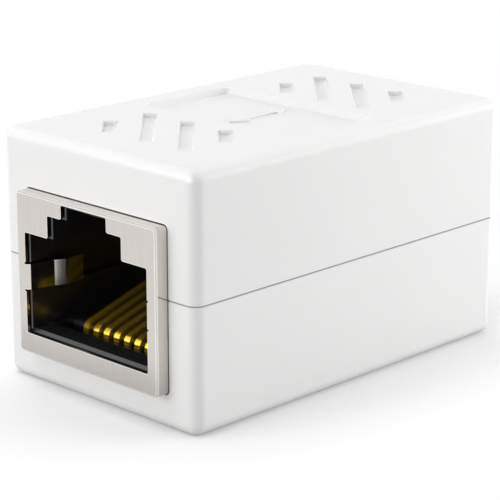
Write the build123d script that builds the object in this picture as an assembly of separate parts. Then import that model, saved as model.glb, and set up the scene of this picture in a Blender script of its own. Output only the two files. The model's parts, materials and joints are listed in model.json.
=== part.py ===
from build123d import *
import math
import os

# Inline coupler: two shielded eight-way sockets back to back on one upright board,
# closed in a two-piece moulded shell. Millimetres. The body lies along Y, the front
# port faces -Y, +Z is up, and the base lies on Z = 0 with the origin at its centre.

# Shell
body_width = 18.6
body_height = 17.5
body_length = 30.2
split_height = 8.75
side_wall = 1.3
end_wall = 1.5
corner_radius = 0.85
rim_radius = 0.75
inner_corner_radius = 0.5
seam_bevel = 0.08
tongue_width = 0.5
tongue_height = 0.7
tongue_fit = 0.05
rib_thickness = 1.0
outer_rib_setback = 3.2
middle_rib_place = 6.4

# Recessed panel and grip slots on the top
panel_width = 14.3
panel_length = 8.2
panel_depth = 0.4
panel_corner = 0.6
panel_draft = 40
grip_count = 4
grip_pitch = 3.65
grip_width = 1.05
grip_depth = 0.3
grip_draft = 25
grip_area_width = 9.9
grip_area_length = 5.8
grip_centre = 8.6

# Plug opening in the shield's face: three steps, each centred over the one below
port_floor = 3.87
plug_width = 11.9
plug_height = 7.03
latch_width = 7.2
latch_height = 1.57
notch_width = 4.4
notch_height = 0.98

# Shield, a can of thin sheet that stands proud of the shell's end
sheet = 0.2
shield_proud = 1.0
shield_jamb = 0.85
shield_sill = 1.45
shield_corner = 0.32
shield_bevel = 0.12
opening_corner = 0.15
shield_fit = 0.06
leg_height = 1.2
leg_reach = 0.3
leg_room = 0.3
low_leg_place = 6.0
high_leg_place = 10.5

# Ground tabs, folded back into the opening from its jambs
tab_height = 1.75
tab_place = 7.78
tab_relief = 0.15
tab_relief_depth = 0.12
tab_shoulder_run = 1.9
tab_ramp_run = 0.8
tab_tip_run = 1.5
tab_root_inset = 0.1
tab_shoulder_lean = 0.43
tab_ramp_lean = 0.37
tab_tip_lean = 0.15
tab_bend = 0.25

# Jack housing
housing_fit = 0.05
face_gap = 0.12
cavity_inset = 0.12
cavity_chamfer = 0.07
floor_inset = 0.25
floor_lead = 0.2
notch_roof = 0.2
floor_plate = 0.35
sill_depth = 1.7
tray_depth = 0.95
tray_drop = 0.47
rail_width = 0.5
rail_height = 0.11
rail_setback = 1.45
rear_wall = 1.8
board_room = 1.0
channel_height = 1.95
channel_depth = 0.42
channel_length = 10.5
standoff_width = 1.2
comb_depth = 0.8
comb_room_above = 0.2
comb_room_below = 2.0

# Contacts and their carrier
contact_count = 8
contact_pitch = 1.016
contact_width = 0.52
contact_thickness = 0.28
contact_rise = 16.6
contact_setback = 3.1
contact_tip_gap = 0.2
nose_radius = 0.42
nose_fit = 0.02
tail_fit = 0.05
tail_row_rise = 1.35
tail_jog_setback = 0.5
tail_jog_run = 0.6
tail_reach = 0.5
slot_fit = 0.06
carrier_margin = 1.4
carrier_fit = 0.05
carrier_block_depth = 1.6
carrier_block_head = 0.5

# Circuit board
board_thickness = 1.2
board_fit = 0.1
board_corner = 0.4
pin_hole_fit = 0.05
pin_hole_sides = 8
leg_slot_width = 0.5

# Places along Y, at the front socket
end_face = -body_length / 2
shield_face = end_face - shield_proud
board_face = -board_thickness / 2
housing_face = shield_face + sheet + face_gap
housing_end = board_face - board_room
cavity_end = housing_end - rear_wall
sill_end = housing_face + sill_depth
tray_end = sill_end + tray_depth
contact_front = shield_face + contact_setback
nose_centre = contact_front + contact_thickness + nose_radius + nose_fit
contact_tip = cavity_end + comb_depth - contact_tip_gap

# Heights
shield_base = port_floor - shield_sill
notch_top = port_floor + plug_height + latch_height + notch_height
shield_top = notch_top + sheet
housing_base = shield_base + sheet + housing_fit
housing_top = shield_top - sheet - housing_fit
cavity_floor = port_floor + floor_inset
carrier_base = housing_base + floor_plate
tail_height = carrier_base + tail_fit + contact_thickness / 2
nose_height = tail_height + contact_thickness / 2 + nose_fit + nose_radius
carrier_top = nose_height + nose_radius
upper_row_height = tail_height + tail_row_rise
carrier_block_top = upper_row_height + contact_thickness / 2 + carrier_block_head
rise_slope = math.tan(math.radians(contact_rise))
bend_radius = nose_radius + nose_fit + contact_thickness / 2
rise_start = nose_height + bend_radius / math.cos(math.radians(contact_rise))
tip_height = rise_start + (contact_tip - nose_centre) * rise_slope

# Widths
shield_width = plug_width + 2 * shield_jamb
housing_width = shield_width - 2 * sheet - 2 * housing_fit
cavity_width = plug_width - 2 * cavity_inset
carrier_width = (contact_count - 1) * contact_pitch + contact_width + 2 * carrier_margin
inner_width = body_width - 2 * side_wall
inner_length = body_length - 2 * end_wall
board_width = inner_width - 2 * board_fit
board_base = side_wall + board_fit
board_top = body_height - side_wall - board_fit
pin_hole_radius = math.hypot(contact_width, contact_thickness) / 2 + pin_hole_fit

contact_places = [(i - (contact_count - 1) / 2) * contact_pitch for i in range(contact_count)]


def block(x, y, z):
    """A box between the given limits along X, Y and Z."""
    size = [high - low for low, high in (x, y, z)]
    centre = [(low + high) / 2 for low, high in (x, y, z)]
    return Pos(*centre) * Box(*size)


def bar(width, y, z):
    """A box of the given width, centred on X = 0."""
    return block((-width / 2, width / 2), y, z)


def run_along(outline, start, end):
    """An outline drawn in X and Z, carried along Y from start to end."""
    plane = Plane(origin=(0, end, 0), x_dir=(1, 0, 0), z_dir=(0, -1, 0))
    return extrude(plane * outline, amount=end - start)


def run_across(outline, width, place):
    """An outline drawn in Y and Z, carried along X about the given place."""
    plane = Plane(origin=(place - width / 2, 0, 0), x_dir=(0, 1, 0), z_dir=(1, 0, 0))
    return extrude(plane * outline, amount=width)


def upright_panel(width, base, top, radius):
    """A rounded rectangle in X and Z between two heights."""
    return Pos(0, (base + top) / 2) * RectangleRounded(width, top - base, radius)


def port_outline(inset, floor, roof):
    """The stepped plug opening between the given heights, drawn in by inset elsewhere."""
    shoulder = port_floor + plug_height - inset
    step = port_floor + plug_height + latch_height - inset
    steps = [
        (plug_width / 2 - inset, floor, shoulder),
        (latch_width / 2 - inset, shoulder, step),
        (notch_width / 2 - inset, step, roof),
    ]
    right = [(x, z) for x, low, high in steps for z in (low, high)]
    left = [(-x, z) for x, z in reversed(right)]
    return make_face(Polyline(*right, *left, close=True))


def jack_bay():
    """The space of both shields and the clearance round them, through ribs and end walls."""
    width = shield_width + 2 * shield_fit
    base = shield_base - shield_fit
    top = shield_top + shield_fit
    window = upright_panel(width, base, top, shield_corner + shield_fit)
    bay = bar(width, (-inner_length / 2, inner_length / 2), (base, top))
    return bay + run_along(window, shield_face, -shield_face)


def rounded_body():
    body = bar(body_width, (end_face, -end_face), (0, body_height))
    body = fillet(body.edges().filter_by(Axis.Z), corner_radius)
    ends = body.faces().sort_by(Axis.Z)
    return fillet(ends[0].edges() + ends[-1].edges(), rim_radius)


def inner_space():
    """The hollow of the shell, less the ribs that hold the sockets and trap the board."""
    outline = RectangleRounded(inner_width, inner_length, inner_corner_radius)
    height = body_height - 2 * side_wall
    space = extrude(Pos(0, 0, side_wall) * outline, amount=height)
    board_rib = board_thickness / 2 + board_fit + rib_thickness / 2
    outer_rib = inner_length / 2 - outer_rib_setback
    for place in (board_rib, middle_rib_place, outer_rib):
        for y in (place, -place):
            limits = (y - rib_thickness / 2, y + rib_thickness / 2)
            space -= bar(inner_width, limits, (side_wall, body_height - side_wall))
    return space


def seam_ring(inner_gap, outer_gap, height):
    """The ring above the seam, next to the hollow, that the tongue fills."""
    spread = tongue_width + outer_gap
    outer = RectangleRounded(
        inner_width + 2 * spread, inner_length + 2 * spread, inner_corner_radius + spread
    )
    inner = RectangleRounded(
        inner_width - 2 * inner_gap, inner_length - 2 * inner_gap, inner_corner_radius - inner_gap
    )
    return extrude(Pos(0, 0, split_height) * (outer - inner), amount=height)


def bevel_seam(half):
    """Breaks the outer edge of a shell half where it meets the other one."""
    reach = min(side_wall, end_wall) / 2
    seam = half.edges().filter_by_position(Axis.Z, split_height, split_height)
    rim = [
        edge
        for edge in seam
        if body_width / 2 - abs(edge.center().X) < reach
        or body_length / 2 - abs(edge.center().Y) < reach
    ]
    return chamfer(rim, seam_bevel)


def sunk(outline, depth, draft):
    """A recess of the given depth below the top face, with sloping walls."""
    return extrude(
        Pos(0, 0, body_height) * outline, amount=depth, dir=(0, 0, -1), taper=draft
    )


def grip_slots():
    """Two groups of parallel slots at 45 degrees, cut off at the edges of their area."""
    reach_x = grip_area_width / 2
    reach_y = grip_area_length / 2
    slots = []
    for i in range(grip_count):
        offset = (i - (grip_count - 1) / 2) * grip_pitch
        left = max(-reach_x, offset - reach_y)
        right = min(reach_x, offset + reach_y)
        length = (right - left) * math.sqrt(2)
        middle = (left + right) / 2
        outline = Rot(0, 0, -45) * Rectangle(length, grip_width)
        for group in (grip_centre, -grip_centre):
            slots.append(sunk(Pos(middle, group + offset - middle) * outline, grip_depth, grip_draft))
    return slots


def shells():
    """The two halves, cut from one hollow body at the seam."""
    hollow = rounded_body() - inner_space() - jack_bay()
    below = bar(body_width, (end_face, -end_face), (0, split_height))
    above = bar(body_width, (end_face, -end_face), (split_height, body_height))
    tongue = seam_ring(0, 0, tongue_height) - jack_bay()
    lower = bevel_seam(hollow & below) + tongue
    upper = bevel_seam(hollow & above) - seam_ring(tongue_fit, tongue_fit, tongue_height + tongue_fit)
    upper -= sunk(RectangleRounded(panel_width, panel_length, panel_corner), panel_depth, panel_draft)
    for slot in grip_slots():
        upper -= slot
    return upper, lower


def ground_tab(side):
    """A spring folded back from one jamb, bulging into the opening, with a tip that turns out."""
    root_y = shield_face + sheet / 2
    jamb = plug_width / 2
    bend_x = jamb - tab_root_inset
    knee_x = bend_x - tab_shoulder_lean
    crest_x = knee_x - tab_ramp_lean
    tip_x = crest_x + tab_tip_lean
    knee_y = root_y + tab_shoulder_run
    crest_y = knee_y + tab_ramp_run
    tip_y = crest_y + tab_tip_run
    line = FilletPolyline(
        (side * (jamb + shield_jamb / 2), root_y),
        (side * bend_x, root_y),
        (side * knee_x, knee_y),
        (side * crest_x, crest_y),
        (side * tip_x, tip_y),
        radius=tab_bend,
    )
    strip = trace(line, line_width=sheet)
    return extrude(Pos(0, 0, tab_place - tab_height / 2) * strip, amount=tab_height)


def shield():
    outline = upright_panel(shield_width, shield_base, shield_top, shield_corner)
    can = run_along(outline, shield_face, board_face)
    can = chamfer(can.faces().sort_by(Axis.Y)[0].edges(), shield_bevel)
    hollow = run_along(
        upright_panel(
            shield_width - 2 * sheet,
            shield_base + sheet,
            shield_top - sheet,
            shield_corner - sheet,
        ),
        shield_face + sheet,
        board_face,
    )
    can -= hollow
    opening = port_outline(0, port_floor, notch_top)
    opening = fillet(opening.vertices(), opening_corner)
    can -= run_along(opening, shield_face, shield_face + sheet)
    for side in (1, -1):
        relief_x = sorted((side * plug_width / 2, side * (plug_width / 2 + tab_relief_depth)))
        for edge in (1, -1):
            relief_z = tab_place + edge * (tab_height + tab_relief) / 2
            can -= block(
                relief_x,
                (shield_face, shield_face + sheet),
                (relief_z - tab_relief / 2, relief_z + tab_relief / 2),
            )
        can += ground_tab(side)
    wall_x = shield_width / 2 - sheet / 2
    for side, leg_place, room_place in (
        (-1, low_leg_place, high_leg_place),
        (1, high_leg_place, low_leg_place),
    ):
        wall = (side * wall_x - sheet / 2, side * wall_x + sheet / 2)
        leg_z = (leg_place - leg_height / 2, leg_place + leg_height / 2)
        room_half = leg_height / 2 + leg_room
        room_z = (room_place - room_half, room_place + room_half)
        can += block(wall, (board_face - sheet, -board_face + leg_reach), leg_z)
        can -= block(wall, (board_face - leg_reach - leg_room, board_face), room_z)
    return can


def jack_housing():
    body = bar(housing_width, (housing_face, board_face), (housing_base, housing_top))
    body = fillet(body.edges().filter_by(Axis.Y), shield_corner - sheet)
    body -= bar(
        housing_width - 2 * standoff_width, (housing_end, board_face), (housing_base, housing_top)
    )
    cavity = port_outline(cavity_inset, cavity_floor, housing_top - notch_roof)
    body -= run_along(cavity, housing_face, cavity_end)
    mouth = body.faces().sort_by(Axis.Y)[0].inner_wires()[0]
    body = chamfer(mouth.edges(), cavity_chamfer)
    lead = Polyline(
        (housing_face, cavity_floor),
        (housing_face, cavity_floor - floor_lead),
        (housing_face + floor_lead, cavity_floor),
        close=True,
    )
    body -= run_across(make_face(lead), cavity_width, 0)
    bay_width = carrier_width + 2 * carrier_fit
    body -= bar(bay_width, (sill_end, tray_end), (cavity_floor - tray_drop, cavity_floor))
    body -= bar(bay_width, (tray_end, housing_end), (carrier_base, carrier_block_top + carrier_fit))
    rail_x = cavity_width / 2
    for side in (1, -1):
        channel_x = sorted((side * (rail_x - rail_width), side * (rail_x + channel_depth)))
        body -= block(
            channel_x,
            (housing_face, housing_face + channel_length),
            (tab_place - channel_height / 2, tab_place + channel_height / 2),
        )
        rail = sorted((side * (rail_x - rail_width), side * rail_x))
        body += block(
            rail,
            (housing_face + rail_setback, cavity_end),
            (cavity_floor, cavity_floor + rail_height),
        )
    pocket_top = tip_height + contact_thickness / 2 + comb_room_above
    pocket_z = (tip_height - contact_thickness / 2 - comb_room_below, pocket_top)
    pocket_reach = contact_width / 2 + slot_fit
    for x in contact_places:
        body -= block((x - pocket_reach, x + pocket_reach), (cavity_end, cavity_end + comb_depth), pocket_z)
    return body


def contact_carrier():
    body = bar(carrier_width, (nose_centre, housing_end), (carrier_base, carrier_top))
    body += bar(
        carrier_width,
        (housing_end - carrier_block_depth, housing_end),
        (carrier_base, carrier_block_top),
    )
    nose = Pos(0, nose_centre, nose_height) * Rot(0, 90, 0) * Cylinder(nose_radius, carrier_width)
    body += nose
    groove_reach = contact_width / 2 + slot_fit
    groove_top = nose_height - nose_radius
    room_y = housing_end - tail_jog_setback - tail_jog_run - contact_thickness / 2 - tail_fit
    for i, x in enumerate(contact_places):
        groove_x = (x - groove_reach, x + groove_reach)
        body -= block(groove_x, (nose_centre, housing_end), (carrier_base, groove_top))
        if i % 2 == 1:
            rise = (carrier_base, upper_row_height + contact_thickness / 2 + tail_fit)
            body -= block(groove_x, (room_y, housing_end), rise)
    return body


def contact(index):
    """One wire: soldered tail, run under the carrier, bend round its nose, sprung rise to the comb."""
    tail_end = -board_face + tail_reach
    jog_y = housing_end - tail_jog_setback
    under = (nose_centre, tail_height)
    if index % 2 == 1:
        tail = Polyline(
            (tail_end, upper_row_height),
            (jog_y, upper_row_height),
            (jog_y - tail_jog_run, tail_height),
            under,
        )
    else:
        tail = Line((tail_end, tail_height), under)
    turn = JernArc(under, (-1, 0), bend_radius, -(180 - contact_rise))
    rise_length = (contact_tip - (turn @ 1).X) / math.cos(math.radians(contact_rise))
    rise = PolarLine(turn @ 1, rise_length, contact_rise)
    strip = trace(Curve() + [tail, turn, rise], line_width=contact_thickness)
    return run_across(strip, contact_width, contact_places[index])


def circuit_board():
    half_width = board_width / 2
    board = bar(board_width, (board_face, -board_face), (board_base, board_top))
    board = chamfer(board.edges().filter_by(Axis.Y), board_corner)
    for i, x in enumerate(contact_places):
        height = upper_row_height if i % 2 == 1 else tail_height
        for place in (x, -x):
            outline = RegularPolygon(pin_hole_radius, pin_hole_sides, major_radius=False)
            hole = Pos(place, height) * outline
            board -= run_along(hole, board_face, -board_face)
    slot_centre = shield_width / 2 - sheet / 2
    slot_reach = leg_height / 2 + leg_room / 2
    for side in (1, -1):
        slot_x = (side * slot_centre - leg_slot_width / 2, side * slot_centre + leg_slot_width / 2)
        for place in (low_leg_place, high_leg_place):
            board -= block(slot_x, (board_face, -board_face), (place - slot_reach, place + slot_reach))
    return board


def socket_pieces():
    """The pieces of one socket, as they stand at the front end."""
    pieces = {
        "shield": shield(),
        "jack_housing": jack_housing(),
        "contact_carrier": contact_carrier(),
    }
    for i in range(contact_count):
        pieces[f"contact_{i + 1}"] = contact(i)
    return pieces


def build():
    upper, lower = shells()
    pieces = {"upper_shell": upper, "lower_shell": lower, "circuit_board": circuit_board()}
    for name, piece in socket_pieces().items():
        pieces["front_" + name] = piece
        pieces["rear_" + name] = Rot(0, 0, 180) * piece
    return pieces


os.makedirs("parts", exist_ok=True)
for name, piece in build().items():
    export_step(piece, f"parts/{name}.step")
    print(name, round(piece.volume, 3))
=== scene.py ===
import json
import math

import bmesh
import bpy
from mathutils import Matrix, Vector


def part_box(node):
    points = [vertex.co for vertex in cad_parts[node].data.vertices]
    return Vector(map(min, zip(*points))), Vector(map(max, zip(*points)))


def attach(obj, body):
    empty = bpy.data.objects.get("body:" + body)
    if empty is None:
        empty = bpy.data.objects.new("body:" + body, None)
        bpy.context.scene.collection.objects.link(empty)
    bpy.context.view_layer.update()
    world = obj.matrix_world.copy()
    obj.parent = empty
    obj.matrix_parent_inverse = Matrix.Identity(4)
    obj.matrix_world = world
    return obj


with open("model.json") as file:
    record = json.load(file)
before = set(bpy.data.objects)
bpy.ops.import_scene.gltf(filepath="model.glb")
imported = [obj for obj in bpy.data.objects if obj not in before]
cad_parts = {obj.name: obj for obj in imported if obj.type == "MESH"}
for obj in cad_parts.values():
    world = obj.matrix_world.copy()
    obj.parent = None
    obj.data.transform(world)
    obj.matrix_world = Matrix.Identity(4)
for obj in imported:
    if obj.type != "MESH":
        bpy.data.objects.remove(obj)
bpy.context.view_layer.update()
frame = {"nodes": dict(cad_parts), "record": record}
mm = 0.001
print("frame loaded:", len(frame["nodes"]), "solids")

noiseSpan = (0.3, 0.7)       # where nearly all values of a noise texture lie
mixSockets = {"factor": 0, "low": 6, "high": 7, "result": 2}   # of a Mix node set to colour


def newMaterial(name):
    material = bpy.data.materials.new(name)
    material.use_nodes = True
    tree = material.node_tree
    return material, tree, tree.nodes["Principled BSDF"]


def addNode(tree, kind, inputs=None, **settings):
    node = tree.nodes.new(kind)
    for key, value in settings.items():
        setattr(node, key, value)
    for key, value in (inputs or {}).items():
        if isinstance(value, bpy.types.NodeSocket):
            tree.links.new(value, node.inputs[key])
        else:
            node.inputs[key].default_value = value
    return node


def millimetres(tree, stretch=(1, 1, 1)):
    # texture space in millimetres, so the scales below read as features per millimetre
    place = addNode(tree, "ShaderNodeTexCoord").outputs["Object"]
    values = {"Vector": place, "Scale": tuple(s / mm for s in stretch)}
    return addNode(tree, "ShaderNodeMapping", values).outputs[0]


def heightAbove(tree):
    # millimetres above the ground
    return addNode(tree, "ShaderNodeSeparateXYZ", {0: millimetres(tree)}).outputs["Z"]


def noise(tree, space, scale, detail=3.0, roughness=0.5):
    values = {"Vector": space, "Scale": scale, "Detail": detail, "Roughness": roughness}
    return addNode(tree, "ShaderNodeTexNoise", values).outputs["Fac"]


def blend(tree, factor, low, high):
    # low and high are each a colour or a socket that gives one
    low, high = (c if isinstance(c, bpy.types.NodeSocket) else (*c, 1) for c in (low, high))
    values = {mixSockets["factor"]: factor, mixSockets["low"]: low, mixSockets["high"]: high}
    mix = addNode(tree, "ShaderNodeMix", values, data_type="RGBA")
    return mix.outputs[mixSockets["result"]]


def ramp(tree, value, start, end, low=0.0, high=1.0, **settings):
    values = {"Value": value, "From Min": start, "From Max": end, "To Min": low, "To Max": high}
    return addNode(tree, "ShaderNodeMapRange", values, **settings).outputs["Result"]


def spread(tree, value, low, high):
    return ramp(tree, value, *noiseSpan, low, high)


def maths(tree, operation, *values):
    return addNode(tree, "ShaderNodeMath", dict(enumerate(values)), operation=operation).outputs[0]


# scales a colour by a tone; both uses below paint shade into the colour
def paintedShade(tree, colour, tone):
    values = {0: colour, "Scale": tone}
    return addNode(tree, "ShaderNodeVectorMath", values, operation="SCALE").outputs["Vector"]


def bump(tree, height, strength, depth):
    values = {"Strength": strength, "Distance": depth * mm, "Height": height}
    return addNode(tree, "ShaderNodeBump", values).outputs["Normal"]


def connect(tree, shader, **sockets):
    names = {"colour": "Base Color", "gloss": "Roughness", "relief": "Normal"}
    for key, value in sockets.items():
        tree.links.new(value, shader.inputs[names[key]])


whitePlastic = {
    "pale": (0.82, 0.82, 0.815),
    "deep": (0.79, 0.79, 0.785),
    "cloud": 0.12,           # slow change of tone, features per mm
    "gloss": (0.22, 0.25),
    "grain": 3.5,            # moulded texture, features per mm
    "grainDetail": 2.0,
    "grainDepth": 0.0004,    # mm
    "grainStrength": 0.2,
    "specular": 0.8,
    "seam": 8.75,            # mm above the ground, where the two halves meet
    "seamReach": 0.06,       # mm to each side of it, darkest in the inner half
    "seamPaintedShade": 0.42,       # painted shade: tone at the bottom of that joint, standing in for the shade in the groove
}


def makeWhitePlastic():
    look = whitePlastic
    material, tree, shader = newMaterial("moulded_white")
    cloud = noise(tree, millimetres(tree), look["cloud"])
    grain = noise(tree, millimetres(tree), look["grain"], look["grainDetail"])
    # painted shade: the colour is darkened along the seam, where the groove lies in shade
    above = maths(tree, "SUBTRACT", heightAbove(tree), look["seam"])
    away = maths(tree, "ABSOLUTE", above)
    tone = ramp(tree, away, look["seamReach"] / 2, look["seamReach"], look["seamPaintedShade"])
    connect(
        tree,
        shader,
        colour=paintedShade(tree, blend(tree, cloud, look["deep"], look["pale"]), tone),
        gloss=spread(tree, grain, *look["gloss"]),
        relief=bump(tree, grain, look["grainStrength"], look["grainDepth"]),
    )
    shader.inputs["Specular IOR Level"].default_value = look["specular"]
    return material


nickelPlate = {
    "light": (0.70, 0.665, 0.630),
    "dark": (0.60, 0.565, 0.530),
    "cloud": 0.35,
    "gloss": (0.07, 0.12),
    "marks": 14.0,           # rolling marks per mm, running up the sheet
    "marksDetail": 4.0,
    "marksRoughness": 0.6,
    "markStretch": 0.03,
    "markDepth": 0.002,      # mm
    "markStrength": 0.35,
    "paintedShade": 0.72,           # painted shade: tone of the lowest part of the sheet, darker towards the bottom where it mirrors the shaded ground
    "shadeBottom": 2.0,      # mm above the ground, below which that tone stays
    "shadeTop": 5.0,         # mm above the ground where the full tone is reached
    "edge": (0.97, 0.96, 0.94),   # painted highlight: colour lightened along the folds and the cut edges, standing in for light caught there
    "edgeReach": 0.10,       # mm
    "edgeSamples": 6,
    "edgeTurn": (0.995, 0.955),   # how far the surface turns, from no painted highlight to all
}


def makeNickelPlate():
    look = nickelPlate
    material, tree, shader = newMaterial("nickel_plated_sheet")
    along = millimetres(tree, (1, 1, look["markStretch"]))
    marks = noise(tree, along, look["marks"], look["marksDetail"], look["marksRoughness"])
    cloud = noise(tree, millimetres(tree), look["cloud"])
    # painted shade: the colour darkens towards the bottom of the sheet
    tone = ramp(tree, heightAbove(tree), look["shadeBottom"], look["shadeTop"], look["paintedShade"])
    # painted highlight: the colour lightens where the surface turns at the folds and cut edges
    reach = {"Radius": look["edgeReach"] * mm}
    rounded = addNode(tree, "ShaderNodeBevel", reach, samples=look["edgeSamples"]).outputs[0]
    face = addNode(tree, "ShaderNodeNewGeometry").outputs["True Normal"]
    both = {0: rounded, 1: face}
    turn = addNode(tree, "ShaderNodeVectorMath", both, operation="DOT_PRODUCT").outputs["Value"]
    sheet = blend(tree, marks, look["dark"], look["light"])
    sheetWithPaintedHighlight = blend(tree, ramp(tree, turn, *look["edgeTurn"]), sheet, look["edge"])
    connect(
        tree,
        shader,
        colour=paintedShade(tree, sheetWithPaintedHighlight, tone),
        gloss=spread(tree, cloud, *look["gloss"]),
        relief=bump(tree, marks, look["markStrength"], look["markDepth"]),
    )
    shader.inputs["Metallic"].default_value = 1.0
    return material


goldPlate = {
    "light": (1.00, 0.71, 0.07),
    "dark": (0.94, 0.59, 0.03),
    "cloud": 0.8,
    "gloss": (0.15, 0.21),
    "marks": 12.0,           # lines that the die left along the wire
    "markStretch": (1, 0.05, 0.4),
    "markDepth": 0.0004,     # mm
    "markStrength": 0.3,
    "metal": 0.88,
}


def makeGoldPlate():
    look = goldPlate
    material, tree, shader = newMaterial("gold_plated_wire")
    marks = noise(tree, millimetres(tree, look["markStretch"]), look["marks"])
    cloud = noise(tree, millimetres(tree), look["cloud"])
    connect(
        tree,
        shader,
        colour=blend(tree, cloud, look["dark"], look["light"]),
        gloss=spread(tree, marks, *look["gloss"]),
        relief=bump(tree, marks, look["markStrength"], look["markDepth"]),
    )
    shader.inputs["Metallic"].default_value = look["metal"]
    return material


blackPlastic = {
    "pale": (0.016, 0.016, 0.017),
    "deep": (0.009, 0.009, 0.010),
    "cloud": 0.4,
    "gloss": (0.20, 0.25),
    "grain": 4.0,
    "grainDetail": 2.0,
    "grainDepth": 0.0002,    # mm
    "grainStrength": 0.2,
    "specular": 1.0,
}


def makeBlackPlastic():
    look = blackPlastic
    material, tree, shader = newMaterial("moulded_black")
    cloud = noise(tree, millimetres(tree), look["cloud"])
    grain = noise(tree, millimetres(tree), look["grain"], look["grainDetail"])
    connect(
        tree,
        shader,
        colour=blend(tree, cloud, look["deep"], look["pale"]),
        gloss=spread(tree, grain, *look["gloss"]),
        relief=bump(tree, grain, look["grainStrength"], look["grainDepth"]),
    )
    shader.inputs["Specular IOR Level"].default_value = look["specular"]
    return material


boardLaminate = {
    "mask": (0.012, 0.10, 0.045),
    "track": (0.03, 0.19, 0.085),
    "trackPitch": 2.2,
    "trackWander": 1.5,
    "trackHeight": 0.02,     # mm
    "trackStrength": 0.3,
    "gloss": 0.3,
}


def makeBoardLaminate():
    look = boardLaminate
    material, tree, shader = newMaterial("masked_laminate")
    values = {
        "Vector": millimetres(tree),
        "Scale": look["trackPitch"],
        "Distortion": look["trackWander"],
    }
    tracks = addNode(tree, "ShaderNodeTexWave", values).outputs["Fac"]
    connect(
        tree,
        shader,
        colour=blend(tree, tracks, look["mask"], look["track"]),
        relief=bump(tree, tracks, look["trackStrength"], look["trackHeight"]),
    )
    shader.inputs["Roughness"].default_value = look["gloss"]
    return material


finishes = {
    "white_plastic": makeWhitePlastic(),
    "nickel_plate": makeNickelPlate(),
    "gold_plate": makeGoldPlate(),
    "black_plastic": makeBlackPlastic(),
    "board_laminate": makeBoardLaminate(),
}
print("finishes made:", len(finishes))


edgeRounding = {             # mm, on the sharp edges of each kind of solid
    "shell": 0.05,
    "shield": 0.07,
    "housing": 0.03,
    "carrier": 0.03,
    "contact": 0.08,
    "board": 0.03,
}

rounding = {
    "flat": 1.0,             # degrees, below which two faces are taken as one
    "sharp": 38,             # degrees, above which an edge is rounded
    "steps": 3,
}


def roundEdges(piece, width):
    flatten = piece.modifiers.new("flatten", "DECIMATE")
    flatten.decimate_type = "DISSOLVE"
    flatten.angle_limit = math.radians(rounding["flat"])
    bevel = piece.modifiers.new("rounding", "BEVEL")
    bevel.width = width * mm
    bevel.segments = rounding["steps"]
    bevel.limit_method = "ANGLE"
    bevel.angle_limit = math.radians(rounding["sharp"])
    flats = piece.modifiers.new("flats", "WEIGHTED_NORMAL")
    flats.mode = "FACE_AREA"
    flats.keep_sharp = True
    for polygon in piece.data.polygons:
        polygon.use_smooth = True


def dressSolids():
    slots = {part["node"]: part["material_slot"] for part in frame["record"]["subparts"]}
    for name, piece in frame["nodes"].items():
        piece.data.materials.clear()
        piece.data.materials.append(finishes[slots[name]])
        kind = next(k for k in edgeRounding if k in name)
        roundEdges(piece, edgeRounding[kind])


dressSolids()
print("solids dressed")


directionArrow = {           # mm, moulded on the floor of the top panel, pointing at both ports
    "length": 5.6,
    "shaftWidth": 0.5,
    "headLength": 1.2,
    "headWidth": 1.7,
    "relief": 0.14,
    "root": 0.05,            # how far it reaches into the panel
    "panelDepth": 0.4,
    "rounding": 0.04,
}


def makeDirectionArrow():
    tip = directionArrow["length"] / 2
    neck = tip - directionArrow["headLength"]
    shaft = directionArrow["shaftWidth"] / 2
    head = directionArrow["headWidth"] / 2
    quarter = [(0, tip), (head, neck), (shaft, neck)]
    right = quarter + [(x, -y) for x, y in reversed(quarter)]
    outline = right + [(-x, -y) for x, y in right[1:-1]]
    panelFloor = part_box("upper_shell")[1][2] - directionArrow["panelDepth"] * mm
    foot = panelFloor - directionArrow["root"] * mm
    shape = bmesh.new()
    base = shape.faces.new([shape.verts.new((x * mm, y * mm, foot)) for x, y in outline])
    raised = bmesh.ops.extrude_face_region(shape, geom=[base])["geom"]
    top = [v for v in raised if isinstance(v, bmesh.types.BMVert)]
    lift = (directionArrow["root"] + directionArrow["relief"]) * mm
    bmesh.ops.translate(shape, verts=top, vec=(0, 0, lift))
    bmesh.ops.recalc_face_normals(shape, faces=shape.faces)
    mesh = bpy.data.meshes.new("direction_arrow")
    shape.to_mesh(mesh)
    shape.free()
    arrow = bpy.data.objects.new("direction_arrow", mesh)
    bpy.context.scene.collection.objects.link(arrow)
    mesh.materials.append(finishes["white_plastic"])
    roundEdges(arrow, directionArrow["rounding"])
    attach(arrow, "root")


makeDirectionArrow()
print("arrow moulded")


floorSheet = {
    "size": 4.0,             # metres
    "pale": 0.80,
    "deep": 0.78,
    "cloud": 0.05,
    "bounce": 0.45,          # how much of the lamps' light it throws back on the object
    "glow": 0.13,            # lifts the paper to white where the object doesn't shade it
    "fadeFrom": 16.0,        # mm from the object's middle, where the paper starts to go plain white
    "fadeTo": 44.0,
}


def seenDirectly(tree):
    # 1 for what the camera sees, also by reflection or through something clear
    path = addNode(tree, "ShaderNodeLightPath")
    seen = path.outputs["Is Camera Ray"]
    for kind in ("Is Glossy Ray", "Is Transmission Ray"):
        seen = maths(tree, "MAXIMUM", seen, path.outputs[kind])
    return seen


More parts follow.
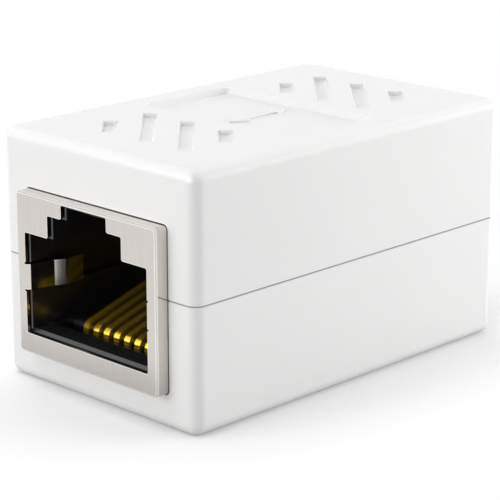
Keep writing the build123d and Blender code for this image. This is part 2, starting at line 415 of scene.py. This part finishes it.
def makeFloor():
    bpy.ops.mesh.primitive_plane_add(size=floorSheet["size"])
    floor = bpy.context.object
    floor.name = "floor"
    material, tree, shader = newMaterial("studio_floor")
    seen = seenDirectly(tree)
    cloud = noise(tree, millimetres(tree), floorSheet["cloud"])
    bounce, deep, pale = ((floorSheet[tone],) * 3 for tone in ("bounce", "deep", "pale"))
    connect(tree, shader, colour=blend(tree, seen, bounce, blend(tree, cloud, deep, pale)))
    shader.inputs["Roughness"].default_value = 1.0
    shader.inputs["Specular IOR Level"].default_value = 0.0
    shader.inputs["Emission Color"].default_value = (1, 1, 1, 1)
    glow = maths(tree, "MULTIPLY", seen, floorSheet["glow"])
    tree.links.new(glow, shader.inputs["Emission Strength"])
    place = addNode(tree, "ShaderNodeTexCoord").outputs["Object"]
    away = addNode(tree, "ShaderNodeVectorMath", {0: place}, operation="LENGTH").outputs["Value"]
    start, end = floorSheet["fadeFrom"] * mm, floorSheet["fadeTo"] * mm
    fade = ramp(tree, away, start, end, interpolation_type="SMOOTHSTEP")
    white = addNode(tree, "ShaderNodeEmission", {"Strength": 1.0}).outputs[0]
    mixed = {0: maths(tree, "MULTIPLY", seen, fade), 1: shader.outputs[0], 2: white}
    sheet = addNode(tree, "ShaderNodeMixShader", mixed).outputs[0]
    tree.links.new(sheet, tree.nodes["Material Output"].inputs["Surface"])
    floor.data.materials.append(material)


room = {
    "ambient": 0.15,
    "backdrop": 1.0,         # white, where the camera looks past the floor
}


def makeRoom():
    world = bpy.data.worlds.new("room")
    bpy.context.scene.world = world
    world.use_nodes = True
    tree = world.node_tree
    light, backdrop = (
        addNode(tree, "ShaderNodeBackground", {"Color": (1, 1, 1, 1), "Strength": room[key]})
        for key in ("ambient", "backdrop")
    )
    mixed = {0: seenDirectly(tree), 1: light.outputs[0], 2: backdrop.outputs[0]}
    choice = addNode(tree, "ShaderNodeMixShader", mixed).outputs[0]
    tree.links.new(choice, tree.nodes["World Output"].inputs["Surface"])


lamps = {                    # degrees from +X towards +Y, degrees above the floor, watts
    "front": {"panel": "strip", "azimuth": -90, "height": 14, "power": 0.090},
    "frontLeft": {"panel": "square", "azimuth": -115, "height": 20, "power": 0.046},
    "right": {"panel": "low", "azimuth": 0, "height": 12, "power": 0.026},
    "rightBack": {"panel": "low", "azimuth": 50, "height": 12, "power": 0.200},
    "left": {"panel": "low", "azimuth": 180, "height": 12, "power": 0.045},
    "topLeft": {"panel": "large", "azimuth": -135, "height": 70, "power": 0.80},
    "topBack": {"panel": "large", "azimuth": 110, "height": 70, "power": 0.25},
    "back": {"panel": "large", "azimuth": 135, "height": 45, "power": 0.30},
}

lampPanels = {               # metres; a mirrored lamp leaves a highlight, the others only light
    "strip": {"size": (0.14, 0.07), "distance": 0.15, "mirrored": True},
    "square": {"size": (0.10, 0.10), "distance": 0.15, "mirrored": True},
    "low": {"size": (0.14, 0.058), "distance": 0.15, "mirrored": False},
    "large": {"size": (0.35, 0.35), "distance": 0.40, "mirrored": False},
}
lampAim = 8                  # mm above the floor, the point that every lamp faces


def makeLamp(name, setting):
    panel = lampPanels[setting["panel"]]
    light = bpy.data.lights.new(name, "AREA")
    light.shape = "RECTANGLE"
    light.size, light.size_y = panel["size"]
    light.energy = setting["power"]
    lamp = bpy.data.objects.new(name, light)
    lamp.visible_glossy = panel["mirrored"]
    azimuth = math.radians(setting["azimuth"])
    height = math.radians(setting["height"])
    level = math.cos(height)
    towards = Vector((math.cos(azimuth) * level, math.sin(azimuth) * level, math.sin(height)))
    lamp.location = towards * panel["distance"] + Vector((0, 0, lampAim * mm))
    lamp.rotation_euler = towards.to_track_quat("Z", "Y").to_euler()
    bpy.context.scene.collection.objects.link(lamp)


shot = {                     # degrees and mm
    "azimuth": 44.39,
    "height": 16.53,
    "distance": 144.22,
    "lens": 147.53,
    "aside": -0.528,
    "aim": 7.472,
    "nearest": 5,            # nothing nearer than this is drawn
}


def makeCamera():
    azimuth = math.radians(shot["azimuth"])
    height = math.radians(shot["height"])
    level = math.cos(height)
    ahead = Vector((-math.sin(azimuth) * level, math.cos(azimuth) * level, -math.sin(height)))
    aside = Vector((math.cos(azimuth), math.sin(azimuth), 0)) * shot["aside"] * mm
    data = bpy.data.cameras.new("camera")
    data.lens = shot["lens"]
    data.clip_start = shot["nearest"] * mm
    camera = bpy.data.objects.new("camera", data)
    camera.location = aside + Vector((0, 0, shot["aim"] * mm)) - ahead * shot["distance"] * mm
    camera.rotation_euler = ahead.to_track_quat("-Z", "Y").to_euler()
    bpy.context.scene.collection.objects.link(camera)
    bpy.context.scene.camera = camera


makeFloor()
makeRoom()
for lampName, lampSetting in lamps.items():
    makeLamp(lampName, lampSetting)
makeCamera()
bpy.context.scene.view_settings.view_transform = "Standard"
print("studio set")
